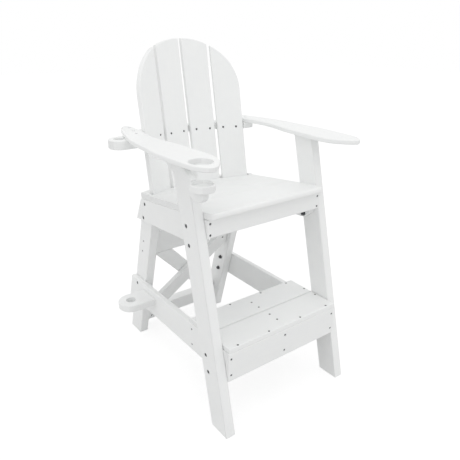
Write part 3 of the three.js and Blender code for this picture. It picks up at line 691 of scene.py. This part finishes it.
# %% Screw marks
REARWARD, DOWN = Vector((0, 1, 0)), Vector((0, 0, -1))
TO_LEFT, TO_RIGHT = Vector((1, 0, 0)), Vector((-1, 0, 0))
# Drills start well off the chair or at the front feet. Many screws stand at a board's end or middle.
OFF = 400
OVER_STEP = 330 + OFF
END, MID = 241, 0

screw_marks = {
    "seat_apron": [(mark(x, -OFF, z), REARWARD) for x in (-END, END) for z in (725, 686)],
    "step_apron": [(mark(x, -OFF, z), REARWARD) for x in (-END, MID, END) for z in (281, 217)],
    "step_plank_front": [(mark(x, y, OVER_STEP), DOWN) for x, y in (
        (-211, 47), (-74, 47), (77, 48), (213, 50), (MID, 87), (MID, 128), (-END, 132), (END, 132))],
    "step_plank_rear": [(mark(x, y, OVER_STEP), DOWN) for x, y in (
        (-213, 268), (-76, 268), (76, 268), (213, 268), (MID, 189.5), (MID, 232), (-END, 192), (END, 192))],
    "front_brace": [(mark(x, 0, z), REARWARD) for x, z in ((165.6, 410), (-167.8, 68))],
}
for side, beside, way in (("right", -OFF, TO_LEFT), ("left", OFF, TO_RIGHT)):
    screw_marks[f"lower_side_rail_{side}"] = [(mark(beside, 268, z), way) for z in (281, 216)]
    screw_marks[f"rear_leg_{side}"] = [
        (mark(beside, y, z), way) for y, z in ((657, 488), (671.8, 438.6))]
for slat, places in (
    ("outer_right", ((-206, 921), (-147, 922.5))), ("inner_right", ((-91, 919.5), (-28, 920))),
    ("inner_left", ((32, 921), (92, 919))), ("outer_left", ((148, 921), (199, 921))),
):
    screw_marks[f"back_slat_{slat}"] = [(mark(x, 0, z), REARWARD) for x, z in places]
print("screws beside those on the arms:", sum(len(v) for v in screw_marks.values()))

# %% [markdown]
# ### Places of bolts and arm screws
#
# The bolts are solids of their own, so their boxes say where they go. The heads are on the outer
# faces of the legs at the front and of the rails at the rear. The screws on the arms are solids
# too. They stand square on the sloping arm, whose top is its largest upward face.

# %% Places of bolts and arm screws
def bolt_place(node):
    """The point on the outer face over a bolt's head, and the way that its head points."""
    low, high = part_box(node)
    outward = TO_RIGHT if (low.x + high.x) / 2 < MIDDLE else TO_LEFT
    head = low.x if outward is TO_RIGHT else high.x
    return Vector((head - BOLT_TOP * MM * outward.x, (low.y + high.y) / 2, (low.z + high.z) / 2)), outward


def arm_screw_place(node):
    """The point on the arm's top over a screw's head, and the way that the top faces."""
    low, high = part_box(node)
    x, y = (low.x + high.x) / 2, (low.y + high.y) / 2
    arm = frame["nodes"][f"arm_{node.split('_')[2]}"].data
    top = max(arm.polygons, key=lambda face: face.area * face.normal.z)
    slope = (x - top.center.x) * top.normal.x + (y - top.center.y) * top.normal.y
    return Vector((x, y, top.center.z - slope / top.normal.z)), top.normal.copy()


bolts = {node: bolt_place(node) for node in frame["nodes"] if "_leg_bolt_" in node}
arm_screws = {node: arm_screw_place(node) for node in frame["nodes"] if "arm_screw_" in node}
BOLTED = ("front_leg", "rear_leg", "lower_side_rail", "seat_rail")
print("bolts:", len(bolts), "first at", [round(v, 4) for v in bolts["front_leg_bolt_right_1"][0]])

# %% [markdown]
# ### Making all boards
#
# Every board goes through the same steps, in the order of a workshop: copy, round the edges, drill
# for bolts, drill for screws, mark the grain, and give it its plastic. The screws of a board are
# joined to one piece that rides with it. No two screws in a row end up at the same turn.

# %% Drilling and screwing
# Degrees by which each screw, and each board's first screw, is turned further than the one before.
TURN_BY_SCREW, TURN_BY_BOARD = 37, 11


def near(node, place):
    """True if a bolt's hole passes through this board."""
    low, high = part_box(node)
    point = place[0]
    return low.y < point.y < high.y and low.z < point.z < high.z


def drill(board, node):
    """Cuts the holes for the bolts and arm screws that go through this board."""
    kind, _, side = node.rpartition("_")
    if kind == "arm":
        cut_holes(board, ARM_CUTTER, [arm_screws[n] for n in sorted(arm_screws) if f"_{side}_" in n])
    if kind in BOLTED:
        holes = [p for name, p in bolts.items() if f"_{side}_" in name and near(node, p)]
        cut_holes(board, BOLT_CUTTER, holes)


def drive_screws(board, node, number):
    """Cuts the holes for a board's own screws and joins the screws to one piece, if it has any."""
    landed = [face_under(board, start, way) for start, way in screw_marks.get(node, [])]
    if not landed:
        return None
    cut_holes(board, SCREW_CUTTER, landed)
    screws = []
    for i, (point, normal) in enumerate(landed):
        turn = TURN_BY_SCREW * i + TURN_BY_BOARD * number
        screws.append(copy_to(SCREW, f"{node}_screw_{i}", point, normal, turn))
    return join_as(f"{node}_screws", screws)


print("each screw is turned", TURN_BY_SCREW, "degrees further than the one before")

# %% All boards
fasteners = [n for n in frame["nodes"] if "_bolt_" in n or "_screw_" in n]
board_names = sorted(set(frame["nodes"]) - set(fasteners))
for number, node in enumerate(board_names):
    board = whole_copy(node)
    axes = board_axes(board)
    soften(board)
    drill(board, node)
    group = drive_screws(board, node, number)
    if group:
        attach(group, "root")
    shade(board)
    write_grain(board, axes, number)
    fill_in(board, BOARD)
    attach(board, "root")
    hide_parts(node)
points = sum(len(bpy.data.objects[node + "_board"].data.vertices) for node in board_names)
print("boards:", len(board_names), "points:", points)

# %% [markdown]
# ### Bolts and arm screws
#
# The bolts and the arm screws take the places of their solids, each turned a little differently,
# as they end up when they are driven in.

# %% Bolts and arm screws
TURN_BY_BOLT, TURN_BY_ARM_SCREW = 23, 41

for index, (node, (point, outward)) in enumerate(sorted(bolts.items())):
    bolt = copy_to(BOLT, node + "_steel", point, outward, turn=TURN_BY_BOLT * index)
    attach(bolt, "root")
    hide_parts(node)

for index, (node, (point, normal)) in enumerate(sorted(arm_screws.items())):
    screw = copy_to(SCREW, node + "_steel", point, normal, turn=TURN_BY_ARM_SCREW * index)
    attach(screw, "root")
    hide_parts(node)
remove(SCREW, BOLT, SCREW_CUTTER, ARM_CUTTER, BOLT_CUTTER)
print("fasteners placed:", len(fasteners))

# %% [markdown]
# ## Studio
#
# The photograph has a white ground with hardly any shadow. Here the floor is a pale matt sheet. To
# the camera it also glows a little, so that lit floor comes out as white while the chair's soft
# shadow stays. To all else it is just a pale floor that throws light up under the boards.

# %% Floor
def seen_directly(tree):
    """1 where the eye looks straight at it, in a shiny face or through a clear one, and 0 elsewhere."""
    rays = add(tree, "ShaderNodeLightPath").outputs
    sees = add(tree, "ShaderNodeMath", {"operation": "MAXIMUM"},
               i0=rays["Is Camera Ray"], i1=rays["Is Glossy Ray"]).outputs[0]
    return add(tree, "ShaderNodeMath", {"operation": "MAXIMUM"},
               i0=sees, i1=rays["Is Transmission Ray"]).outputs[0]


def studio_floor():
    material, tree = new_material("pale_studio_floor")
    place = add(tree, "ShaderNodeTexCoord").outputs["Object"]
    mottle = add(tree, "ShaderNodeTexNoise", Vector=place, Scale=3.0, Detail=2.0).outputs[0]
    paint = add(tree, "ShaderNodeMix", {"data_type": "RGBA"}, i0=mottle,
                i6=linear("#dadada"), i7=linear("#dddddd")).outputs[2]
    pale = add(tree, "ShaderNodeBsdfDiffuse", Color=paint)
    thin = add(tree, "ShaderNodeBsdfDiffuse", Color=linear("#9a9a9a"))
    glow = add(tree, "ShaderNodeEmission", Color=(1, 1, 1, 1), Strength=0.76)
    shown = add(tree, "ShaderNodeAddShader", i0=thin.outputs[0], i1=glow.outputs[0])
    mix = add(tree, "ShaderNodeMixShader",
              i0=seen_directly(tree), i1=pale.outputs[0], i2=shown.outputs[0])
    add(tree, "ShaderNodeOutputMaterial", Surface=mix.outputs[0])
    return material


bpy.ops.object.select_all(action="DESELECT")
bpy.ops.mesh.primitive_plane_add(size=30, location=(0, 0, 0))
floor = bpy.context.active_object
floor.name = "studio_floor"
fill_in(floor, studio_floor())
print("floor:", floor.dimensions.x, "m across")

# %% [markdown]
# ### Light
#
# The chair is lit almost evenly, and only the insides of its boards and what lies under the arms
# and the seat are darker. The tops are a little lighter than the fronts, and these a little lighter
# than the sides. A white sky alone gives nearly all of that, because less of it reaches a face that
# looks sideways or down. A weak soft box high in front lifts the seat and the step a little.

# %% Light
SKY = 0.94

world = bpy.data.worlds.new("white_studio")
bpy.context.scene.world = world
world.use_nodes = True
tree = world.node_tree
tree.nodes.clear()
sky = add(tree, "ShaderNodeBackground", Color=(1, 1, 1, 1), Strength=SKY)
backdrop = add(tree, "ShaderNodeBackground", Color=(1, 1, 1, 1), Strength=1.0)
mix = add(tree, "ShaderNodeMixShader",
          i0=seen_directly(tree), i1=sky.outputs[0], i2=backdrop.outputs[0])
add(tree, "ShaderNodeOutputWorld", Surface=mix.outputs[0])


def soft_box(name, place, aim, size, power):
    lamp = bpy.data.lights.new(name, "AREA")
    lamp.shape = "SQUARE"
    lamp.size = size
    lamp.energy = power
    made = bpy.data.objects.new(name, lamp)
    bpy.context.scene.collection.objects.link(made)
    made.location = place
    made.rotation_euler = (Vector(place) - Vector(aim)).to_track_quat("Z", "Y").to_euler()
    return made


middle = (cad_low + cad_high) / 2
key = soft_box("key_soft_box", middle + Vector((-0.8, -1.5, 3.2)), aim=middle, size=2.4, power=12)
print("sky", SKY, "soft box", key.data.energy, "W")

# %% [markdown]
# ## Colour view
#
# Colours render as written, with the standard view transform.

# %% Colour view
bpy.context.scene.view_settings.view_transform = "Standard"
